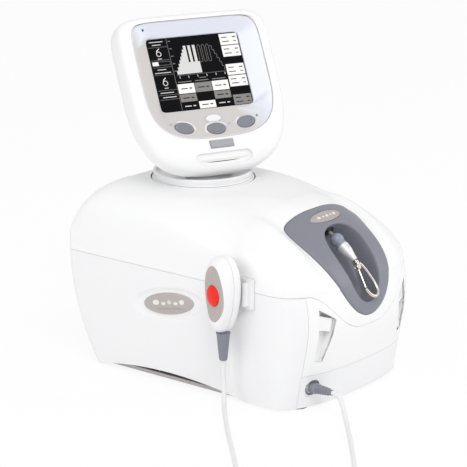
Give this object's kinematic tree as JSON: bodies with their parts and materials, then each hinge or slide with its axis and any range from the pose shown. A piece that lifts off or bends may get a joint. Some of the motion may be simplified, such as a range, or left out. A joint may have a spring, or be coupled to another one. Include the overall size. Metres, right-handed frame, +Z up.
{
  "type": "motorised traction unit",
  "caption": "Desk-top motorised traction unit: rounded white housing, tilting touch-screen head, rope outlet with snap hook, and a corded patient stop switch.",
  "frame": {"origin": "on the floor plane under the middle of the base's four mounting holes, on the body's plane of symmetry", "axes": "+Z up, -Y towards the front (rope outlet), +X towards the body's right side seen from behind"},
  "size_m": [0.4825, 0.547, 0.3959],
  "materials": {
    "shell_white": "satin",
    "slate_plastic": "satin",
    "badge_metal": "satin",
    "screen_frame": "satin",
    "screen_glass": "gloss",
    "screen_black": "gloss",
    "steel": "brushed",
    "nickel": "polished",
    "red_button": "gloss",
    "cord_white": "matte",
    "rubber": "matte",
    "rope_grey": "matte",
    "black_plastic": "matte",
    "white_key": "satin",
    "tab_grey": "matte",
    "board": "satin",
    "zinc": "satin",
    "lens": "gloss"
  },
  "bodies": {
    "base": {"base_plate": "zinc", "rubber_feet": "rubber", "base_screws": "steel", "lower_housing": "shell_white", "front_band": "shell_white", "front_panel": "shell_white", "upper_shell": "shell_white", "rope_bezel": "slate_plastic", "bezel_badge": "badge_metal", "side_badge_left": "badge_metal", "side_badge_right": "badge_metal", "handle_cup": "shell_white", "neck_base_ring": "shell_white", "mast": "zinc", "chassis": "zinc", "gear_motor": "black_plastic", "power_supply": "zinc", "control_board": "board", "mains_inlet": "black_plastic", "switch_socket": "black_plastic", "rope_fairlead": "steel", "pulley_axle": "steel", "rope_inner_run": "rope_grey", "switch_holder": "shell_white", "hand_switch_rear": "shell_white", "hand_switch_front": "shell_white", "hand_relief": "slate_plastic", "switch_cord_out": "cord_white", "switch_cord_coil": "cord_white", "switch_cord_back": "cord_white", "switch_plug": "slate_plastic"},
    "latch_left": {"latch_tab_left": "shell_white"},
    "latch_right": {"latch_tab_right": "shell_white"},
    "swivel": {"neck_collar": "shell_white", "tilt_yoke": "zinc", "tilt_pin": "steel"},
    "head": {"tilt_knuckle": "zinc", "head_rear_housing": "shell_white", "head_front_housing": "shell_white", "screen_bezel": "screen_frame", "touch_glass": "screen_glass", "lcd_panel": "screen_black", "head_chassis": "zinc", "keypad_board": "board", "led_lenses": "lens"},
    "stop_key": {"key_stop": "slate_plastic"},
    "pause_key": {"key_pause": "slate_plastic"},
    "start_key": {"key_start": "slate_plastic"},
    "home_key": {"key_home": "white_key"},
    "card": {"card_tab": "tab_grey"},
    "rope": {"pull_rope": "rope_grey", "rope_bumper": "rope_grey", "hook_ferrule": "nickel"},
    "hook": {"snap_hook": "nickel"},
    "gate": {"hook_gate": "nickel"},
    "pulley": {"rope_pulley": "zinc"},
    "drum": {"rope_drum": "zinc", "drum_shaft": "steel"},
    "rocker": {"power_rocker": "black_plastic"},
    "button": {"hand_button": "red_button"}
  },
  "joints": [
    {"name": "head_swivel", "type": "hinge", "parent": "base", "child": "swivel", "pos_m": [0, 0.075, 0.214], "axis": [0, 0, 1], "range_deg": [-66, 114]},
    {"name": "head_tilt", "type": "hinge", "parent": "swivel", "child": "head", "pos_m": [0, 0.075, 0.255], "axis": [0.9135, -0.4067, 0], "range_deg": [-18, 4]},
    {"name": "rope_pull", "type": "slide", "parent": "base", "child": "rope", "axis": [0, -0.809, -0.5878], "range_m": [0, 0.03]},
    {"name": "hook_swivel", "type": "hinge", "parent": "rope", "child": "hook", "pos_m": [0, -0.14241, 0.15255], "axis": [0, -0.809, -0.5878], "range_deg": [-12, 12]},
    {"name": "hook_gate", "type": "hinge", "parent": "hook", "child": "gate", "pos_m": [-0.0023, -0.1477, 0.14577], "axis": [0, -0.788, 0.6157], "range_deg": [0, 20], "stiffness_Nm_per_rad": 0.02, "springref_deg": -5.73},
    {"name": "pulley_turn", "type": "hinge", "parent": "base", "child": "pulley", "pos_m": [0, -0.06897, 0.18588], "axis": [1, 0, 0], "range_deg": [0, 110]},
    {"name": "drum_turn", "type": "hinge", "parent": "base", "child": "drum", "pos_m": [0, -0.02657, 0.072], "axis": [1, 0, 0], "range_deg": [-70, 0]},
    {"name": "stop_press", "type": "slide", "parent": "head", "child": "stop_key", "axis": [0.3522, 0.7912, -0.5], "range_m": [0, 0.0008], "stiffness_N_per_m": 400, "springref_m": -0.0005},
    {"name": "pause_press", "type": "slide", "parent": "head", "child": "pause_key", "axis": [0.3522, 0.7912, -0.5], "range_m": [0, 0.0008], "stiffness_N_per_m": 400, "springref_m": -0.0005},
    {"name": "start_press", "type": "slide", "parent": "head", "child": "start_key", "axis": [0.3522, 0.7912, -0.5], "range_m": [0, 0.0008], "stiffness_N_per_m": 400, "springref_m": -0.0005},
    {"name": "home_press", "type": "slide", "parent": "head", "child": "home_key", "axis": [0.3522, 0.7912, -0.5], "range_m": [0, 0.0008], "stiffness_N_per_m": 400, "springref_m": -0.0005},
    {"name": "card_press", "type": "slide", "parent": "head", "child": "card", "axis": [0.3522, 0.7912, -0.5], "range_m": [0, 0.0008], "stiffness_N_per_m": 400, "springref_m": -0.0005},
    {"name": "latch_press_left", "type": "slide", "parent": "base", "child": "latch_left", "axis": [0, 1, 0], "range_m": [0, 0.002], "stiffness_N_per_m": 500, "springref_m": -0.0005},
    {"name": "latch_press_right", "type": "slide", "parent": "base", "child": "latch_right", "axis": [0, 1, 0], "range_m": [0, 0.002], "stiffness_N_per_m": 500, "springref_m": -0.0005},
    {"name": "button_press", "type": "slide", "parent": "base", "child": "button", "axis": [0.9511, -0.309, 0], "range_m": [0, 0.002], "stiffness_N_per_m": 400, "springref_m": -0.0005},
    {"name": "rocker_turn", "type": "hinge", "parent": "base", "child": "rocker", "pos_m": [0.031, 0.17523, 0.0623], "axis": [1, 0, 0], "range_deg": [-12, 0]}
  ],
  "couplings": [
    {"joint": "pulley_turn", "follows": "rope_pull", "rad_per_m": 61.728},
    {"joint": "drum_turn", "follows": "rope_pull", "rad_per_m": -38.168}
  ]
}
